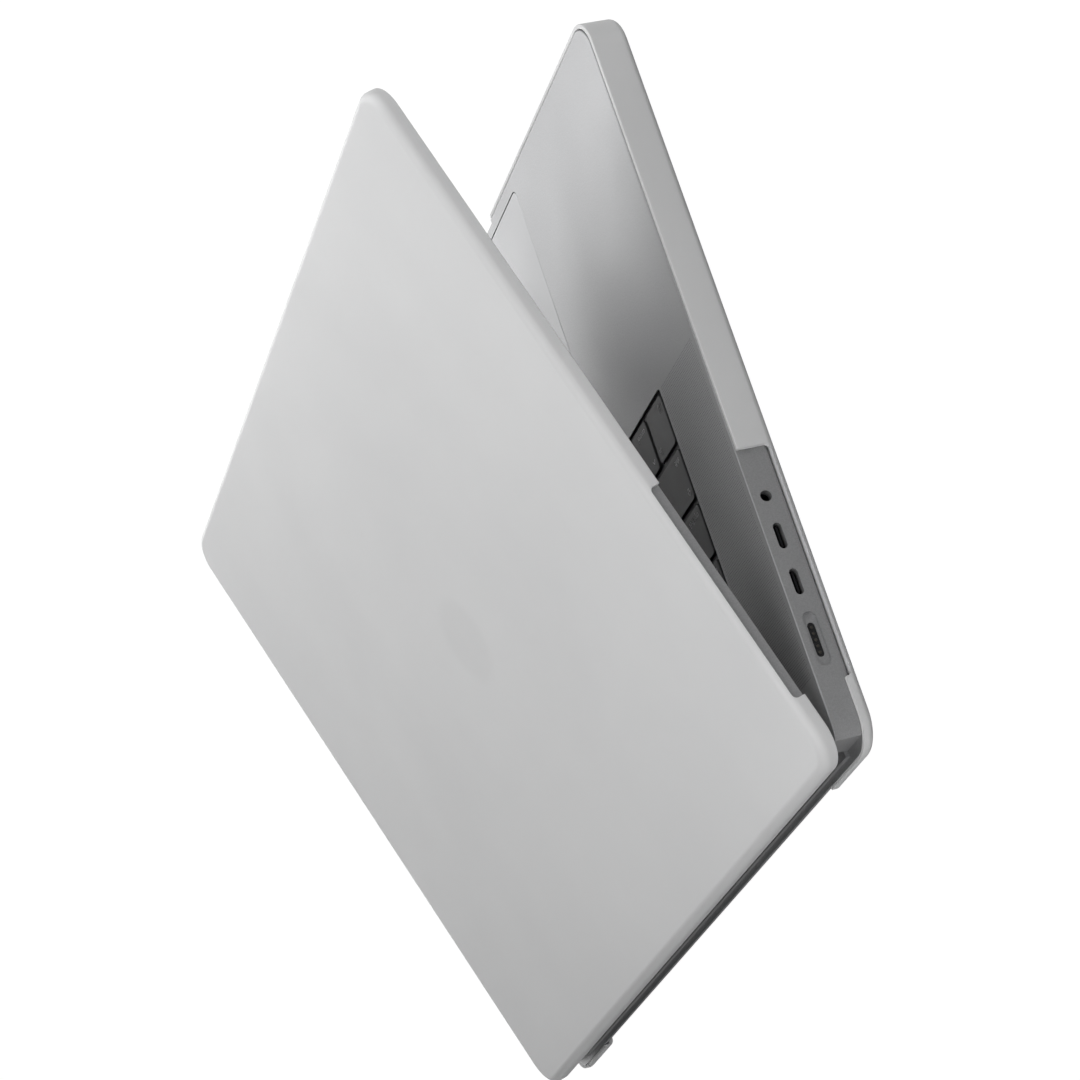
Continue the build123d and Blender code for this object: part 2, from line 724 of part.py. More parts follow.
def display_housing():
    """The lid's metal back, with its rim, and pockets over the hinge knuckles."""
    body = outline_slab(0, LID_Z, LID_TOP_Z)
    body = fillet(top_edges(body), 1.2)
    glass_front = -HALF_D + RIM
    depth = GLASS_REAR_Y - glass_front
    middle = (GLASS_REAR_Y + glass_front) / 2
    hollow_top = LID_TOP_Z - LID_BACK_T
    body -= slab(WIDTH - 2 * RIM, depth, CORNER_R - RIM, LID_Z - 1, hollow_top, y=middle)
    body -= gasket_ring()
    body -= knuckle_pockets()
    for side in (-1, 1):
        body -= rod_x(HINGE_Y, HINGE_Z, SHAFT_R, side * SHAFT_X[0], side * KNUCKLE_X[0])
    body -= disc(0, 0, BADGE_R, LID_TOP_Z - BADGE_T, LID_TOP_Z + 1)
    return body


def knuckle_pockets():
    """Round pockets that let the lid turn about the hinge knuckles."""
    x0, x1 = KNUCKLE_X[0] - 0.4, KNUCKLE_X[1] + 0.4
    return both_sides(rod_x(HINGE_Y, HINGE_Z, KNUCKLE_POCKET_R, x0, x1))


def gasket_ring():
    """The soft ring in the rim of the lid."""
    y = (GLASS_REAR_Y - HALF_D + RIM) / 2
    size = (WIDTH - 2 * RIM, GLASS_REAR_Y + HALF_D - RIM)
    outer = (size[0] + 2 * GASKET_W, size[1] + 2 * GASKET_W)
    low, high = LID_Z - 0.1, LID_Z + 0.4
    ring = slab(*outer, CORNER_R - RIM + GASKET_W, low, high, y=y)
    return ring - slab(*size, CORNER_R - RIM, low - 1, high + 1, y=y)


def display_glass():
    """The front glass, a little below the rim."""
    low = LID_Z + GLASS_SINK
    y = (GLASS_REAR_Y - HALF_D + RIM) / 2
    return slab(WIDTH - 2 * RIM, GLASS_REAR_Y + HALF_D - RIM, CORNER_R - RIM, low, low + GLASS_T, y=y)


def display_panel():
    """The panel behind the glass, notched at its top for the camera."""
    low = LID_Z + GLASS_SINK + GLASS_T
    y0, y1 = -HALF_D + PANEL_INSET, GLASS_REAR_Y - 12
    panel = slab(WIDTH - 2 * PANEL_INSET, y1 - y0, 8.0, low, low + PANEL_T, y=(y0 + y1) / 2)
    return panel - slab(NOTCH_W, NOTCH_D * 2, 2.0, low - 1, low + PANEL_T + 1, y=y0)


def display_board():
    """The thin driver board behind the panel's lower edge."""
    low = LID_Z + GLASS_SINK + GLASS_T
    return slab(250, 8, 1.0, low, low + 0.9, y=GLASS_REAR_Y - 6)


def webcam():
    """The camera module in the notch."""
    low = LID_Z + GLASS_SINK + GLASS_T
    y = -HALF_D + PANEL_INSET + 1.6
    return slab(14, 4.4, 0.8, low + 0.6, low + 1.6, y=y) + disc(0, y, 1.5, low, low + 0.6)


def lid_badge():
    """A plain polished disc let into the back of the lid."""
    return disc(0, 0, BADGE_R, LID_TOP_Z - BADGE_T, LID_TOP_Z)


def hinge_cover():
    """The long black barrel under the lid's rear edge, hollow, with bores for the shafts."""
    body = rod_x(HINGE_Y, HINGE_Z, BARREL_R, -BARREL_HALF_L, BARREL_HALF_L)
    body -= block(-WIDTH, WIDTH, HINGE_Y - 10, HINGE_Y + 10, LID_Z, LID_Z + 10)
    body -= block(-WIDTH, WIDTH, HALF_D, HALF_D + 10, 0, LID_Z + 10)
    body -= rod_x(HINGE_Y, HINGE_Z, 1.6, -SHAFT_X[0], SHAFT_X[0])
    for side in (-1, 1):
        body -= rod_x(HINGE_Y, HINGE_Z, SHAFT_R, side * SHAFT_X[0], side * BARREL_HALF_L * 1.1)
    return body


def antenna_board():
    """The antenna strip inside the barrel."""
    return block(-110, 110, HINGE_Y - 1.3, HINGE_Y + 1.3, HINGE_Z - 0.4, HINGE_Z + 0.4)


def hinge_shaft(side):
    """The steel shaft between the barrel and a bracket's knuckle."""
    return rod_x(HINGE_Y, HINGE_Z, SHAFT_R, side * SHAFT_X[0], side * SHAFT_X[1])


def lid_shell():
    """The upper half of the clip-on shell."""
    body = outline_slab(SHELL_OUT, LID_Z, SHELL_TOP_Z)
    body = fillet(top_edges(body), LID_SHELL_EDGE_R)
    body -= outline_slab(SHELL_GAP, LID_Z - 1, LID_TOP_Z + SHELL_GAP)
    body = fillet(bottom_edges(body), SHELL_RIM_R)
    body -= knuckle_pockets()
    y0, y1 = PORT_CUT_Y
    for side in (-1, 1):
        x0, x1 = side * (HALF_W - 3), side * (HALF_W + 3)
        body -= box_slot_x((y0 + y1) / 2 + 1.2, LID_Z - 6.2, (y1 - y0, 20), x0, x1, 1.6)
    body -= block(-SCOOP_W / 2, SCOOP_W / 2, -HALF_D - 3, -HALF_D + 3, LID_Z - 1, LID_Z + 1.6)
    return body


def build_base():
    save(top_case(), "top_case")
    save(bottom_cover(), "bottom_cover")
    save(bottom_cover_screws(), "bottom_cover_screws")
    save(rubber_feet(), "rubber_feet")
    save(keyboard_web(), "keyboard_web")
    save(keyboard_backplate(), "keyboard_backplate")
    save([scissor(x, y, d) for _, x, y, w, d in key_places()], "key_scissors")
    save(trackpad(), "trackpad")
    save(trackpad_bracket(), "trackpad_bracket")
    save(haptic_motor(), "haptic_motor")
    save(battery_cells(), "battery_cells")
    save(logic_board(), "logic_board")
    save(processor(), "processor")
    save(heat_pipes(), "heat_pipes")
    save(fin_stacks(), "fin_stacks")
    save(display_cable(), "display_cable")
    save(base_shell(), "base_shell")
    save(shell_feet(), "shell_feet")
    for node, caps in key_nodes().items():
        save(caps, node)


def build_sockets():
    save(headphone_jack(), "headphone_jack")
    save(usb_c_port(-1, USB_FRONT_Y), "usb_c_port_front")
    save(usb_c_port(-1, USB_REAR_Y), "usb_c_port_rear")
    save(usb_c_port(1, USB_RIGHT_Y), "usb_c_port_right")
    save(magnetic_power_port(), "magnetic_power_port")
    save(hdmi_port(), "hdmi_port")
    save(card_slot(), "card_slot")


def build_pairs():
    screws = []
    for side, name in ((-1, "left"), (1, "right")):
        save(fan_housing(side), f"fan_housing_{name}")
        save(fan_rotor(side), f"fan_rotor_{name}")
        save(speaker(side), f"speaker_{name}")
        save(hinge_bracket(side), f"hinge_bracket_{name}")
        save(opened(hinge_shaft(side)), f"hinge_shaft_{name}")
        screws += [hinge_screw(x, y) for x, y in hinge_screw_points(side)]
    save(screws, "hinge_screws")


def build_lid():
    save(opened(display_housing()), "display_housing")
    save(opened(gasket_ring()), "display_gasket")
    save(opened(display_glass()), "display_glass")
    save(opened(display_panel()), "display_panel")
    save(opened(display_board()), "display_board")
    save(opened(webcam()), "webcam")
    save(opened(lid_badge()), "lid_badge")
    save(opened(hinge_cover()), "hinge_cover")
    save(opened(antenna_board()), "antenna_board")
    save(opened(lid_shell()), "lid_shell")


def main():
    os.makedirs("parts", exist_ok=True)
    build_base()
    build_sockets()
    build_pairs()
    build_lid()


main()
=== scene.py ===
"""Looks for a laptop computer in a frosted two-piece clip-on shell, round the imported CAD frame, in metres."""

import json
import math

import bmesh
import bpy
from mathutils import Matrix, Vector

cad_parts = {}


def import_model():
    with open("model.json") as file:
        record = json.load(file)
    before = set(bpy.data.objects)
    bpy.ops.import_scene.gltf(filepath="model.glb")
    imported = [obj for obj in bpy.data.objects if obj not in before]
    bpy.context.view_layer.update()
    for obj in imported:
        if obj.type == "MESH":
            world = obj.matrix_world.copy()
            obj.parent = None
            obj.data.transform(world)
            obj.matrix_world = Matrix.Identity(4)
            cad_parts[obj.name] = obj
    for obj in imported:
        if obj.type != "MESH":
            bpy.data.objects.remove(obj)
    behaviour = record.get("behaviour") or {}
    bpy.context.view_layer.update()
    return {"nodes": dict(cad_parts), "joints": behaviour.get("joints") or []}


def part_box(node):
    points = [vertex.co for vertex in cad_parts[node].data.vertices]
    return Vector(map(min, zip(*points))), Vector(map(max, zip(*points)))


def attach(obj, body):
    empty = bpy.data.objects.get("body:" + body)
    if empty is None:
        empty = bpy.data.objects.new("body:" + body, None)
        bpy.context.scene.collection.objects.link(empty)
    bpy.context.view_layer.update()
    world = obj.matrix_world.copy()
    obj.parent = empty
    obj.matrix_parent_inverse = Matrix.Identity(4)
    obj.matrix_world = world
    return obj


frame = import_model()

MM = 0.001
nodes = frame["nodes"]
lid_joint = next(j for j in frame["joints"] if j["name"] == "lid_hinge")
REST_OPEN = math.radians(-lid_joint["range_deg"][0])
HINGE = Vector(lid_joint["pos_m"])

# The camera, fitted to the photograph: the point it looks at, how far away it stands, its direction,
# how far it is rolled about its own line of sight, and its lens.
CAMERA_TARGET = Vector((-0.0025, -0.0217, 0.018))
CAMERA_DISTANCE = 1.268
CAMERA_AZIMUTH = math.radians(250.1)
CAMERA_ELEVATION = math.radians(18.65)
CAMERA_ROLL = math.radians(-101.85)
CAMERA_LENS_MM = 123.0

# Soft lights: name, place, the point they face, side in metres and power in watts.
LIGHTS = (
    ("front_light", (0.0, -0.38, 0.50), (0.0, -0.10, 0.06), 0.4, 1.8),
    ("left_front_light", (-0.45, -0.35, 0.35), (-0.12, -0.05, 0.04), 0.3, 0.9),
    ("left_rear_light", (-0.42, 0.36, 0.3), (-0.12, 0.06, 0.03), 0.3, 0.8),
    ("top_left_light", (-0.5, 0.15, 0.55), (-0.1, 0.0, 0.05), 0.4, 0.7),
    ("deck_light", (0.9, -0.6, 0.35), (-0.1, -0.1, 0.02), 0.6, 2.8),
    ("gap_light", (1.1, -0.2, 0.25), (-0.1, 0.0, 0.02), 0.6, 2.4),
    ("rear_light", (-0.3, 1.0, 0.1), (0.0, 0.12, 0.02), 0.6, 1.5),
    ("rear_edge_light", (0.75, 0.6, 0.04), (0.0, 0.12, 0.01), 0.3, 0.5),
)

# How bright the even surround is.
SURROUND_STRENGTH = 0.16

# The floor: half its width in metres, its grey, how much of it glows to the camera, and how strongly.
FLOOR_HALF_WIDTH = 12.0
FLOOR_GREY = 0.50
FLOOR_GLOW_SHARE = 0.90
FLOOR_GLOW_STRENGTH = 1.12

# How far flat marks stand off the surface they lie on.
LIFT = 0.02 * MM


# Materials.

# Noise is centred on a half; values outside this band take the end tone.
NOISE_LOW = 0.3
NOISE_HIGH = 0.7

# The badge seen through the shell, painted as shade on the shell: how dark it paints, and where its soft edge
# starts and ends in badge radii.
BADGE_SHADE = 0.965
BADGE_EDGE_START = 0.8
BADGE_EDGE_END = 1.25


def new_material(name, colour, roughness, metallic=0.0):
    """A material with a Principled shader; returns it with its node tree and shader."""
    material = bpy.data.materials.new(name)
    material.use_nodes = True
    tree = material.node_tree
    shader = tree.nodes["Principled BSDF"]
    shader.inputs["Base Color"].default_value = (*colour, 1.0)
    shader.inputs["Roughness"].default_value = roughness
    shader.inputs["Metallic"].default_value = metallic
    return material, tree, shader


def noise(tree, scale, detail=2.0, stretch=(1, 1, 1)):
    """Noise in the object's own metres; scale is in features per metre."""
    coordinates = tree.nodes.new("ShaderNodeTexCoord")
    mapping = tree.nodes.new("ShaderNodeMapping")
    mapping.inputs["Scale"].default_value = stretch
    texture = tree.nodes.new("ShaderNodeTexNoise")
    texture.inputs["Scale"].default_value = scale
    texture.inputs["Detail"].default_value = detail
    tree.links.new(coordinates.outputs["Object"], mapping.inputs["Vector"])
    tree.links.new(mapping.outputs["Vector"], texture.inputs["Vector"])
    return texture.outputs["Fac"]


def add_bump(tree, shader, height, distance):
    """A bump of the given height field, with its depth in metres."""
    bump = tree.nodes.new("ShaderNodeBump")
    bump.inputs["Strength"].default_value = 1.0
    bump.inputs["Distance"].default_value = distance
    tree.links.new(height, bump.inputs["Height"])
    tree.links.new(bump.outputs["Normal"], shader.inputs["Normal"])


def vary_roughness(tree, shader, field, low, high):
    """Roughness that wanders between two values with a field."""
    spread = tree.nodes.new("ShaderNodeMapRange")
    spread.inputs["From Min"].default_value = NOISE_LOW
    spread.inputs["From Max"].default_value = NOISE_HIGH
    spread.inputs["To Min"].default_value = low
    spread.inputs["To Max"].default_value = high
    tree.links.new(field, spread.inputs["Value"])
    tree.links.new(spread.outputs["Result"], shader.inputs["Roughness"])


def vary_colour(tree, shader, field, dark, light):
    """A colour that wanders between two tones with a field."""
    ramp = tree.nodes.new("ShaderNodeValToRGB")
    ramp.color_ramp.elements[0].position = NOISE_LOW
    ramp.color_ramp.elements[1].position = NOISE_HIGH
    ramp.color_ramp.elements[0].color = (*dark, 1.0)
    ramp.color_ramp.elements[1].color = (*light, 1.0)
    tree.links.new(field, ramp.inputs["Fac"])
    tree.links.new(ramp.outputs["Color"], shader.inputs["Base Color"])


def plastic(name, dark, light, roughness, grain=900.0, depth=0.02 * MM):
    """Moulded plastic: a fine spark-eroded grain and slightly uneven tone."""
    material, tree, shader = new_material(name, light, roughness[1])
    vary_colour(tree, shader, noise(tree, 60.0), dark, light)
    vary_roughness(tree, shader, noise(tree, 35.0), *roughness)
    add_bump(tree, shader, noise(tree, grain, 3.0), depth)
    return material


def blasted_metal(name, dark, light, roughness, depth=0.012 * MM):
    """Bead-blasted and anodised metal: a very fine sparkle and a faint cloudiness."""
    material, tree, shader = new_material(name, light, roughness[1], metallic=0.85)
    vary_colour(tree, shader, noise(tree, 2600.0, 2.0), dark, light)
    vary_roughness(tree, shader, noise(tree, 18.0), *roughness)
    add_bump(tree, shader, noise(tree, 3200.0, 2.0), depth)
    return material


def turned_metal(name, dark, light, roughness, stretch=(1, 1, 1)):
    """Bare metal with fine machining lines."""
    material, tree, shader = new_material(name, light, roughness[1], metallic=1.0)
    lines = noise(tree, 900.0, 2.0, stretch)
    vary_colour(tree, shader, lines, dark, light)
    vary_roughness(tree, shader, lines, *roughness)
    add_bump(tree, shader, lines, 0.008 * MM)
    return material


def frosted_shell(name):
    """Frosted polycarbonate: a satin grain, with a little light passing through."""
    material, tree, shader = new_material(name, (0.80, 0.803, 0.806), 0.42)
    cloud = noise(tree, 14.0, 3.0)
    vary_colour(tree, shader, cloud, (0.775, 0.778, 0.782), (0.815, 0.818, 0.82))
    vary_roughness(tree, shader, noise(tree, 25.0), 0.50, 0.58)
    add_bump(tree, shader, noise(tree, 1500.0, 3.0), 0.012 * MM)
    shader.inputs["Specular IOR Level"].default_value = 0.4
    shader.inputs["Transmission Weight"].default_value = 0.22
    shader.inputs["IOR"].default_value = 1.58
    return material


def paint_see_through_shade(material, centre, radius, shade):
    """Paints shade into a material's colour a little round a point: a soft darker patch standing for a thing
    seen through frosted plastic.
    """
    tree = material.node_tree
    shader = tree.nodes["Principled BSDF"]
    colour = shader.inputs["Base Color"].links[0].from_socket
    coordinates = tree.nodes.new("ShaderNodeTexCoord")
    distance = tree.nodes.new("ShaderNodeVectorMath")
    distance.operation = "DISTANCE"
    distance.inputs[1].default_value = centre
    fade = tree.nodes.new("ShaderNodeMapRange")
    fade.interpolation_type = "SMOOTHSTEP"
    fade.inputs["From Min"].default_value = radius * BADGE_EDGE_START
    fade.inputs["From Max"].default_value = radius * BADGE_EDGE_END
    fade.inputs["To Min"].default_value = shade
    fade.inputs["To Max"].default_value = 1.0
    scale = tree.nodes.new("ShaderNodeVectorMath")
    scale.operation = "SCALE"
    tree.links.new(coordinates.outputs["Object"], distance.inputs[0])
    tree.links.new(distance.outputs["Value"], fade.inputs["Value"])
    tree.links.new(colour, scale.inputs[0])
    tree.links.new(fade.outputs["Result"], scale.inputs["Scale"])
    tree.links.new(scale.outputs["Vector"], shader.inputs["Base Color"])


def screen_glass():
    """Polished cover glass over black ink, with faint finger smears in its gloss."""
    material, tree, shader = new_material("screen_glass", (0.006, 0.006, 0.007), 0.05)
    vary_colour(tree, shader, noise(tree, 30.0), (0.005, 0.005, 0.006), (0.008, 0.008, 0.009))
    vary_roughness(tree, shader, noise(tree, 22.0, 3.0), 0.03, 0.10)
    shader.inputs["Coat Weight"].default_value = 0.3
    return material


def circuit_board():
    """Solder mask with a fine grid of traces."""
    material, tree, shader = new_material("circuit_board", (0.01, 0.05, 0.03), 0.45)
    traces = noise(tree, 700.0, 0.0, (1, 0.08, 1))
    vary_colour(tree, shader, traces, (0.006, 0.03, 0.018), (0.02, 0.09, 0.05))
    add_bump(tree, shader, traces, 0.02 * MM)
    return material


def legend_ink():
    """Pale translucent key lettering."""
    material, tree, shader = new_material("legend_ink", (0.55, 0.56, 0.57), 0.5)
    vary_colour(tree, shader, noise(tree, 400.0), (0.50, 0.51, 0.52), (0.60, 0.61, 0.62))
    return material


# Each: name, darker tone, lighter tone, least and most roughness, then grain, depth or stretch.
ALUMINIUM = blasted_metal("blasted_aluminium", (0.37, 0.372, 0.378), (0.44, 0.442, 0.448), (0.50, 0.57))
BASE_SHELL = frosted_shell("frosted_shell")
LID_SHELL = frosted_shell("frosted_lid_shell")
KEY = plastic("key_plastic", (0.060, 0.060, 0.062), (0.072, 0.072, 0.075), (0.50, 0.58), 1400.0)
BLACK = plastic("black_plastic", (0.006, 0.006, 0.0065), (0.010, 0.010, 0.011), (0.45, 0.60))
# Flat dark dots for the speaker holes: painted shade of the inside of the holes.
HOLE_SHADE = plastic("hole_shadow", (0.030, 0.030, 0.031), (0.045, 0.045, 0.046), (0.60, 0.70))
RUBBER = plastic("black_rubber", (0.012, 0.012, 0.012), (0.022, 0.022, 0.022), (0.75, 0.90), 600.0)
PAD = blasted_metal("trackpad_glass", (0.395, 0.397, 0.403), (0.415, 0.417, 0.423), (0.48, 0.54), 0.008 * MM)
STEEL = turned_metal("sheet_steel", (0.38, 0.38, 0.39), (0.50, 0.50, 0.52), (0.30, 0.42), (1, 0.1, 1))
# Socket metal darkened to near black: the metal with the shade inside the port openings painted into its
# colour.
SOCKET_SHADE = turned_metal("socket_metal", (0.018, 0.018, 0.019), (0.035, 0.035, 0.037), (0.40, 0.55))
COPPER = turned_metal("copper", (0.60, 0.30, 0.18), (0.78, 0.44, 0.28), (0.28, 0.40), (0.1, 1, 1))
CONTACT = turned_metal("dark_contact", (0.075, 0.070, 0.062), (0.12, 0.112, 0.098), (0.30, 0.42))
CHROME = turned_metal("polished_badge", (0.50, 0.50, 0.51), (0.58, 0.58, 0.59), (0.10, 0.16))
GLASS = screen_glass()
BOARD = circuit_board()
INK = legend_ink()
WRAP = plastic("battery_wrap", (0.015, 0.015, 0.017), (0.03, 0.03, 0.033), (0.30, 0.45), 300.0)
PALE = plastic("scissor_plastic", (0.50, 0.50, 0.49), (0.60, 0.60, 0.59), (0.40, 0.50))

# Which CAD nodes wear which material.
NODE_MATERIALS = (
    (ALUMINIUM, ("top_case", "bottom_cover", "display_housing")),
    (BASE_SHELL, ("base_shell",)),
    (LID_SHELL, ("lid_shell",)),
    (BLACK, ("keyboard_web", "hinge_cover", "magnetic_power_port", "headphone_jack")),
    (BLACK, ("fan_housing_left", "fan_housing_right", "fan_rotor_left", "fan_rotor_right")),
    (BLACK, ("speaker_left", "speaker_right", "display_panel", "webcam", "display_cable")),
    (RUBBER, ("rubber_feet", "shell_feet", "display_gasket")),
    (PAD, ("trackpad",)),
    (STEEL, ("keyboard_backplate", "trackpad_bracket", "hinge_bracket_left", "hinge_bracket_right")),
    (STEEL, ("bottom_cover_screws", "hinge_screws", "hinge_shaft_left", "hinge_shaft_right")),
    (STEEL, ("haptic_motor",)),
    (SOCKET_SHADE, ("usb_c_port_front", "usb_c_port_rear", "usb_c_port_right", "hdmi_port", "card_slot")),
    (COPPER, ("heat_pipes", "fin_stacks")),
    (CHROME, ("lid_badge",)),
    (GLASS, ("display_glass",)),
    (BOARD, ("logic_board", "display_board", "antenna_board")),
    (WRAP, ("battery_cells", "processor")),
    (PALE, ("key_scissors",)),
    (KEY, [name for name in sorted(nodes) if name.startswith("key_") and name != "key_scissors"]),
)


def paint_badge_shade_on_shell():
    """Painted shade on the lid's half of the shell, where the badge shows faintly through it."""
    low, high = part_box("lid_badge")
    paint_see_through_shade(LID_SHELL, (low + high) / 2, (high.x - low.x) / 2, BADGE_SHADE)


def paint_nodes():
    """Puts the materials on the CAD nodes."""
    for material, names in NODE_MATERIALS:
        for name in names:
            obj = nodes[name]
            if not obj.material_slots:
                obj.data.materials.append(material)
            for slot in obj.material_slots:
                slot.material = material


# Small pieces.


def mesh_object(name, bm):
    """Turns a bmesh into an object in the scene."""
    mesh = bpy.data.meshes.new(name)
    bm.to_mesh(mesh)
    bm.free()
    obj = bpy.data.objects.new(name, mesh)
    bpy.context.scene.collection.objects.link(obj)
    return obj


def add_piece(name, bm, material, body):
    """Turns a bmesh into a piece of the laptop, on a body."""
    obj = mesh_object(name, bm)
    obj.data.materials.append(material)
    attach(obj, body)


def add_disc(bm, centre, radius, sides):
    """A flat disc as one face, facing up."""
    ring = []
    for i in range(sides):
        angle = 2 * math.pi * i / sides
        offset = Vector((radius * math.cos(angle), radius * math.sin(angle), 0))
        ring.append(bm.verts.new(centre + offset))
    bm.faces.new(ring)


# Key lettering.

KEY_GAP = 2.2 * MM
LETTER_SIZE = 4.6 * MM
WORD_SIZE = 2.7 * MM
SMALL_SIZE = 2.9 * MM
MARGIN = 2.0 * MM

# Marks in the keys' corners: half their size, their line and how far they sit inside the margin.
MARK_SIZE = 1.1 * MM
MARK_LINE = 0.28 * MM
MARK_INSET = 1.2 * MM
GLOBE_RADIUS = 1.3 * MM
GLOBE_OVAL = 0.45
GLOBE_LINE = 0.24 * MM
GLOBE_POINTS = 20
FN_OFFSET = 5.0 * MM

# Filled arrows: from centre to tip, the angle of the two rear corners, and the nudge off a half key's middle.
ARROW_SIZE = 1.3 * MM
ARROW_REAR_ANGLE = 2.2
ARROW_NUDGE = 0.2 * MM

NUMBER_KEYS = "`1234567890-="
NUMBER_SIGNS = ("~", "!", "@", "#", "$", "%", "^", "&", "*", "(", ")", "_", "+")
PUNCTUATION = {"[": "{", "]": "}", "\\": "|", ";": ":", "'": '"', ",": "<", ".": ">", "/": "?"}

# The rows from front to rear: node, width in keys and label. A > at a word's end puts it at the right.
KEY_ROWS = (
    (("key_fn", 1, "fn"), ("key_control", 1, "control"), ("key_bottom_row", 1, "option"),
     ("key_bottom_row", 1.25, "command"), ("key_space", 5, ""), ("key_bottom_row", 1.25, "command>"),
     ("key_bottom_row", 1, "option>")),
    (("key_shift_left", 2.25, "shift"), *[("key_lower_letters", 1, c) for c in "ZXCVBNM,./"],
     ("key_lower_letters", 2.25, "shift>")),
    (("key_caps_lock", 1.75, "caps lock"), *[("key_home_letters", 1, c) for c in "ASDFGHJKL;'"],
     ("key_home_letters", 1.75, "return>")),
    (("key_tab", 1.5, "tab"), *[("key_upper_letters", 1, c) for c in "QWERTYUIOP[]\\"]),
    (*[("key_number_row", 1, c) for c in NUMBER_KEYS], ("key_number_row", 1.5, "delete>")),
    (("key_function_row", 1.5, "esc"), *[("key_function_row", 1, f"F{i + 1}") for i in range(12)],
     ("key_power", 1, "")),
)


# The marks, in units of MARK_SIZE round their middle: the lines' points, and whether the line closes.
CHEVRON = ((-1, -0.5), (0, 0.5), (1, -0.5))
UP_ARROW = ((-1, 0), (0, 1.1), (1, 0), (0.45, 0), (0.45, -0.9), (-0.45, -0.9), (-0.45, 0))
SLOPED_BAR = ((-1, 0.7), (-0.3, 0.7), (0.4, -0.7), (1, -0.7))
SHORT_BAR = ((0.3, 0.7), (1, 0.7))
SQUARE = ((-0.8, -0.8), (0.8, -0.8), (0.8, 0.8), (-0.8, 0.8))
MARKS = {
    "control": ((CHEVRON, False),),
    "shift": ((UP_ARROW, True),),
    "option": ((SLOPED_BAR, False), (SHORT_BAR, False)),
    "command": ((SQUARE, True),),
}


def add_text(bm, text, size, x, y, z, align="CENTER"):
    """Adds flat lettering to a bmesh, centred in height on y."""
    curve = bpy.data.curves.new("lettering", "FONT")
    curve.body = text
    curve.size = size
    curve.align_x = align
    curve.align_y = "CENTER"
    curve.resolution_u = 3
    holder = bpy.data.objects.new("lettering", curve)
    mesh = bpy.data.meshes.new_from_object(holder)
    mesh.transform(Matrix.Translation((x, y, z)))
    bm.from_mesh(mesh)
    bpy.data.objects.remove(holder)
    bpy.data.curves.remove(curve)
    bpy.data.meshes.remove(mesh)


def letter_key(bm, label, x, y, width, z):
    """Puts the lettering of one key in its place."""
    if not label:
        return
    depth = pitch_y() - KEY_GAP
    if len(label) > 1 and label[0] == "F" and label[1:].isdigit():
        add_text(bm, label, SMALL_SIZE, x, y - depth / 4, z)
    elif len(label) > 1:
        word = label.rstrip(">")
        side, align = (1, "RIGHT") if label.endswith(">") else (-1, "LEFT")
        word_x = x + side * (width / 2 - MARGIN)
        word_y = y - depth / 2 + MARGIN + WORD_SIZE / 4
        add_text(bm, word, WORD_SIZE, word_x, word_y, z, align)
        if word in ("control", "command", "option", "shift"):
            mark_x = x + side * (width / 2 - MARGIN - MARK_INSET)
            mark_y = y + depth / 2 - MARGIN - MARK_INSET
            add_mark(bm, word, mark_x, mark_y, z)
    elif label in NUMBER_KEYS:
        sign = NUMBER_SIGNS[NUMBER_KEYS.index(label)]
        add_text(bm, sign, SMALL_SIZE, x, y + depth / 5, z)
        add_text(bm, label, SMALL_SIZE, x, y - depth / 5, z)
    elif label in PUNCTUATION:
        add_text(bm, PUNCTUATION[label], SMALL_SIZE, x, y + depth / 5, z)
        add_text(bm, label, SMALL_SIZE, x, y - depth / 5, z)
    else:
        add_text(bm, label, LETTER_SIZE, x, y, z)


def add_bars(bm, points, width, z, closed=False):
    """A thin line through some points, as flat quads."""
    count = len(points) if closed else len(points) - 1
    for i in range(count):
        a = Vector(points[i])
        b = Vector(points[(i + 1) % len(points)])
        along = (b - a).normalized() * width / 2
        across = Vector((-along.y, along.x))
        corners = (a - along + across, a - along - across, b + along - across, b + along + across)
        bm.faces.new([bm.verts.new((c.x, c.y, z)) for c in corners])


def add_mark(bm, label, x, y, z):
    """The small mark in the upper corner of a modifier key: a chevron, an arrow, bars or a plain square."""
    for shape, closed in MARKS[label]:
        points = [(x + MARK_SIZE * a, y + MARK_SIZE * b) for a, b in shape]
        add_bars(bm, points, MARK_LINE, z, closed)


def pitch_x():
    """The distance from key to key along a row."""
    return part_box("key_control")[0].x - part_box("key_fn")[0].x


def pitch_y():
    """The distance from row to row."""
    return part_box("key_shift_left")[0].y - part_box("key_fn")[0].y


def add_arrow(bm, x, y, turn, z):
    """A small filled triangle that points along an angle."""
    ring = []
    for a in (0, ARROW_REAR_ANGLE, -ARROW_REAR_ANGLE):
        corner = Vector((math.cos(turn + a), math.sin(turn + a))) * ARROW_SIZE
        ring.append(bm.verts.new((x + corner.x, y + corner.y, z)))
    bm.faces.new(ring)


def letter_arrows(bm, x, y, z):
    """Triangles on the four arrow keys."""
    quarter = (pitch_y() - KEY_GAP) / 4 + ARROW_NUDGE
    step = pitch_x()
    add_arrow(bm, x + step * 0.5, y - quarter, math.pi, z)
    add_arrow(bm, x + step * 1.5, y - quarter, -math.pi / 2, z)
    add_arrow(bm, x + step * 2.5, y - quarter, 0, z)
    add_arrow(bm, x + step * 1.5, y + quarter, math.pi / 2, z)


def add_globe(bm, x, y, z):
    """A plain globe mark: a ring, an upright oval and a line across."""
    r = GLOBE_RADIUS
    turns = [2 * math.pi * i / GLOBE_POINTS for i in range(GLOBE_POINTS)]
    for width in (r, r * GLOBE_OVAL):
        points = [(x + width * math.cos(a), y + r * math.sin(a)) for a in turns]
        add_bars(bm, points, GLOBE_LINE, z, closed=True)
    add_bars(bm, ((x - r, y), (x + r, y)), GLOBE_LINE, z)


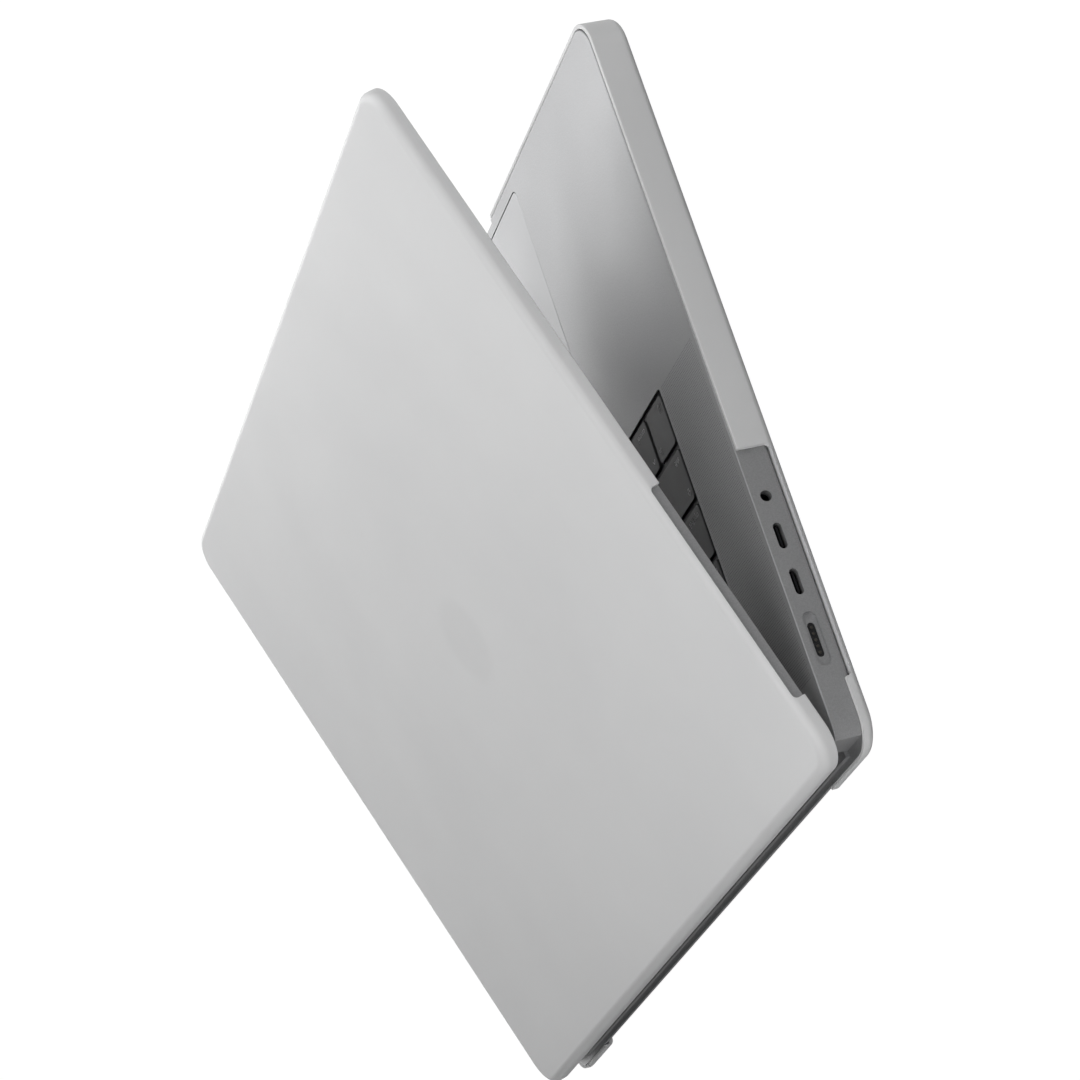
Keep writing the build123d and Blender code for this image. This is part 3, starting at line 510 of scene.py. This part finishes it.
def key_lettering():
    """One piece of lettering for each key node that has any."""
    low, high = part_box("key_fn")
    z = high.z + LIFT
    left = low.x - KEY_GAP / 2
    front = low.y - KEY_GAP / 2
    by_node = {}
    for row, keys in enumerate(KEY_ROWS):
        x = left
        y = front + (row + 0.5) * pitch_y()
        for node, units, label in keys:
            step = units * pitch_x()
            if node not in by_node:
                by_node[node] = bmesh.new()
            bm = by_node[node]
            if label == "fn":
                word_x = x + step - KEY_GAP / 2 - MARGIN
                add_text(bm, label, WORD_SIZE, word_x, y + FN_OFFSET, z, "RIGHT")
                add_globe(bm, x + KEY_GAP / 2 + MARGIN + MARK_INSET, y - FN_OFFSET, z)
            else:
                letter_key(bm, label, x + step / 2, y, step - KEY_GAP, z)
            x += step
        if row == 0:
            by_node["key_arrows"] = bmesh.new()
            letter_arrows(by_node["key_arrows"], x, y, z)
    for node, bm in by_node.items():
        if bm.faces:
            add_piece(f"{node}_lettering", bm, INK, node)
        else:
            bm.free()


# The round pad in the power key, and the finger ridges: length, width and height, their place and rounding.
POWER_PAD_R = 5.6 * MM
RIDGE_SIZE = Vector((3.2, 0.5, 0.3)) * MM
RIDGE_FROM_FRONT = 2.6 * MM
RIDGE_ROUNDING = 0.12 * MM
CAPS_LOCK_WIDTH = 1.75


def power_pad():
    """The round polished pad in the power key."""
    low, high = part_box("key_power")
    centre = (low + high) / 2
    centre.z = high.z + LIFT
    bm = bmesh.new()
    add_disc(bm, centre, POWER_PAD_R, 64)
    add_piece("power_key_pad", bm, GLASS, "key_power")


def home_ridges():
    """The raised finger ridges on the F and J keys, the fourth and seventh after caps lock."""
    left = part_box("key_fn")[0].x - KEY_GAP / 2
    low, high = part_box("key_home_letters")
    for name, keys_before in (("f", 3.5), ("j", 6.5)):
        x = left + (CAPS_LOCK_WIDTH + keys_before) * pitch_x()
        y = low.y + RIDGE_FROM_FRONT
        place = Matrix.Translation((x, y, high.z)) @ Matrix.Diagonal((*RIDGE_SIZE, 1))
        bm = bmesh.new()
        bmesh.ops.create_cube(bm, size=1.0, matrix=place)
        bmesh.ops.bevel(bm, geom=bm.edges[:], offset=RIDGE_ROUNDING, segments=3, affect="EDGES", profile=0.5)
        add_piece(f"{name}_key_ridge", bm, KEY, "key_home_letters")


# Speaker perforations.

HOLE_R = 0.19 * MM
HOLE_SIDES = 6
HOLE_PITCH = 0.95 * MM
ROW_PITCH = HOLE_PITCH * 0.87
GRILLE_FROM_WELL = 1.8 * MM
GRILLE_W = 35.0 * MM
GRILLE_END_MARGIN = 1.0 * MM


def speaker_perforations(name, side):
    """Rows of fine dark dots beside the keyboard, staggered like the holes of a perforated sheet: flat painted
    shade standing for the holes.
    """
    low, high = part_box("keyboard_web")
    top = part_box("top_case")[1].z + LIFT
    edge = high.x + GRILLE_FROM_WELL
    outer = edge + GRILLE_W
    bm = bmesh.new()
    row = 0
    y = low.y + GRILLE_END_MARGIN
    while y < high.y - GRILLE_END_MARGIN:
        x = edge + (row % 2) * HOLE_PITCH / 2
        while x < outer:
            add_disc(bm, Vector((side * x, y, top)), HOLE_R, HOLE_SIDES)
            x += HOLE_PITCH
        y += ROW_PITCH
        row += 1
    add_piece(f"speaker_holes_{name}", bm, HOLE_SHADE, "base")


# Power socket.

CONTACTS = 5
CONTACT_PITCH = 2.0 * MM
CONTACT_R = 0.5 * MM
CONTACT_FLATTENING = 0.4
CONTACT_SINK = 0.05 * MM


def power_contacts():
    """Domed contacts on the power socket's pins."""
    low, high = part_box("magnetic_power_port")
    middle = (low + high) / 2
    flatten = Matrix.Diagonal((CONTACT_FLATTENING, 1, 1, 1))
    for i in range(CONTACTS):
        y = middle.y + (i - CONTACTS // 2) * CONTACT_PITCH
        place = Matrix.Translation((low.x + CONTACT_SINK, y, middle.z))
        bm = bmesh.new()
        bmesh.ops.create_uvsphere(bm, u_segments=16, v_segments=8, radius=CONTACT_R)
        bmesh.ops.transform(bm, matrix=place @ flatten, verts=bm.verts)
        for face in bm.faces:
            face.smooth = True
        add_piece(f"power_contact_{i + 1}", bm, CONTACT, "base")


# Screen.

BEZEL = 3.5 * MM
CHIN = 13.0 * MM
PICTURE_CORNER_R = 5.0 * MM
LENS_WINDOW_R = 1.4 * MM


def lid_frame():
    """Turns a point drawn on the closed lid to the stored pose."""
    return Matrix.Translation(HINGE) @ Matrix.Rotation(-REST_OPEN, 4, "X") @ Matrix.Translation(-HINGE)


def closed_box(node):
    """The box of a lid node with the lid turned shut."""
    shut = lid_frame().inverted()
    points = [shut @ v.co for v in nodes[node].data.vertices]
    low = Vector([min(p[i] for p in points) for i in range(3)])
    high = Vector([max(p[i] for p in points) for i in range(3)])
    return low, high


def rounded_outline(x0, x1, y0, y1, radius, z, steps=8):
    """Points round a rectangle with rounded corners."""
    points = []
    right, left = x1 - radius, x0 + radius
    rear, front = y1 - radius, y0 + radius
    for cx, cy, start in ((right, rear, 0), (left, rear, 90), (left, front, 180), (right, front, 270)):
        for i in range(steps + 1):
            a = math.radians(start + 90 * i / steps)
            points.append(Vector((cx + radius * math.cos(a), cy + radius * math.sin(a), z)))
    return points


def screen_area():
    """The dark picture area, a hair in front of the cover glass."""
    low, high = closed_box("display_glass")
    z = low.z - LIFT
    x0, x1 = low.x + BEZEL, high.x - BEZEL
    y0, y1 = low.y + BEZEL, high.y - CHIN
    outline = rounded_outline(x0, x1, y0, y1, PICTURE_CORNER_R, z)
    bm = bmesh.new()
    face = bm.faces.new([bm.verts.new(p) for p in outline])
    face.normal_update()
    if face.normal.z > 0:
        face.normal_flip()
    bmesh.ops.transform(bm, matrix=lid_frame(), verts=bm.verts)
    material, tree, shader = new_material("picture_area", (0.012, 0.013, 0.016), 0.08)
    vary_colour(tree, shader, noise(tree, 12.0), (0.011, 0.012, 0.015), (0.014, 0.015, 0.018))
    vary_roughness(tree, shader, noise(tree, 20.0, 3.0), 0.05, 0.11)
    add_piece("picture_area", bm, material, "lid")


def webcam_lens():
    """The camera's window in the black border at the top of the screen."""
    low, high = closed_box("webcam")
    centre = (low + high) / 2
    centre.z = closed_box("display_glass")[0].z - 2 * LIFT
    bm = bmesh.new()
    add_disc(bm, centre, LENS_WINDOW_R, 32)
    bmesh.ops.transform(bm, matrix=lid_frame(), verts=bm.verts)
    material, tree, shader = new_material("lens_glass", (0.02, 0.022, 0.04), 0.04)
    vary_colour(tree, shader, noise(tree, 900.0), (0.01, 0.012, 0.03), (0.03, 0.035, 0.06))
    add_piece("webcam_lens", bm, material, "lid")


# Stage, lights and camera.


def floor():
    """A pale floor, white to the camera and plain grey in the light it sends back to the laptop."""
    bm = bmesh.new()
    bmesh.ops.create_grid(bm, x_segments=1, y_segments=1, size=FLOOR_HALF_WIDTH)
    obj = mesh_object("floor", bm)
    material = bpy.data.materials.new("pale_floor")
    material.use_nodes = True
    tree = material.node_tree
    tree.nodes.clear()
    output = tree.nodes.new("ShaderNodeOutputMaterial")
    mix = tree.nodes.new("ShaderNodeMixShader")
    path = tree.nodes.new("ShaderNodeLightPath")
    share = tree.nodes.new("ShaderNodeMath")
    share.operation = "MULTIPLY"
    share.inputs[1].default_value = FLOOR_GLOW_SHARE
    matt = tree.nodes.new("ShaderNodeBsdfDiffuse")
    matt.inputs["Color"].default_value = (FLOOR_GREY, FLOOR_GREY, FLOOR_GREY, 1)
    glow = tree.nodes.new("ShaderNodeEmission")
    glow.inputs["Strength"].default_value = FLOOR_GLOW_STRENGTH
    tree.links.new(path.outputs["Is Camera Ray"], share.inputs[0])
    tree.links.new(share.outputs[0], mix.inputs[0])
    tree.links.new(matt.outputs[0], mix.inputs[1])
    tree.links.new(glow.outputs[0], mix.inputs[2])
    tree.links.new(mix.outputs[0], output.inputs["Surface"])
    obj.data.materials.append(material)


def world():
    """An even pale surround."""
    scene_world = bpy.data.worlds.new("surround")
    scene_world.use_nodes = True
    tree = scene_world.node_tree
    background = tree.nodes["Background"]
    background.inputs["Color"].default_value = (1, 1, 1, 1)
    background.inputs["Strength"].default_value = SURROUND_STRENGTH
    bpy.context.scene.world = scene_world


def area_light(name, place, target, size, power):
    """A square soft light aimed at a point."""
    data = bpy.data.lights.new(name, "AREA")
    data.shape = "SQUARE"
    data.size = size
    data.energy = power
    obj = bpy.data.objects.new(name, data)
    obj.location = place
    obj.rotation_euler = (Vector(target) - Vector(place)).to_track_quat("-Z", "Y").to_euler()
    bpy.context.scene.collection.objects.link(obj)


def camera():
    """The camera, placed by distance, direction and roll."""
    data = bpy.data.cameras.new("camera")
    data.lens = CAMERA_LENS_MM
    data.sensor_width = 36.0
    data.clip_start = 0.01
    data.clip_end = 100.0
    obj = bpy.data.objects.new("camera", data)
    flat = math.cos(CAMERA_ELEVATION)
    back = Vector((
        math.sin(CAMERA_AZIMUTH) * flat,
        -math.cos(CAMERA_AZIMUTH) * flat,
        math.sin(CAMERA_ELEVATION),
    ))
    level = back.to_track_quat("Z", "Y").to_matrix().to_4x4()
    roll = Matrix.Rotation(CAMERA_ROLL, 4, "Z")
    obj.matrix_world = Matrix.Translation(CAMERA_TARGET + back * CAMERA_DISTANCE) @ level @ roll
    bpy.context.scene.collection.objects.link(obj)
    bpy.context.scene.camera = obj


def light_stage():
    """The surround, the floor, the lights and how light becomes colour."""
    world()
    floor()
    for name, place, target, size, power in LIGHTS:
        area_light(name, place, target, size, power)
    bpy.context.scene.view_settings.view_transform = "Standard"


paint_nodes()
# Painted shade of the badge on the lid shell.
paint_badge_shade_on_shell()
key_lettering()
power_pad()
home_ridges()
speaker_perforations("left", -1)
speaker_perforations("right", 1)
power_contacts()
screen_area()
webcam_lens()
light_stage()
camera()
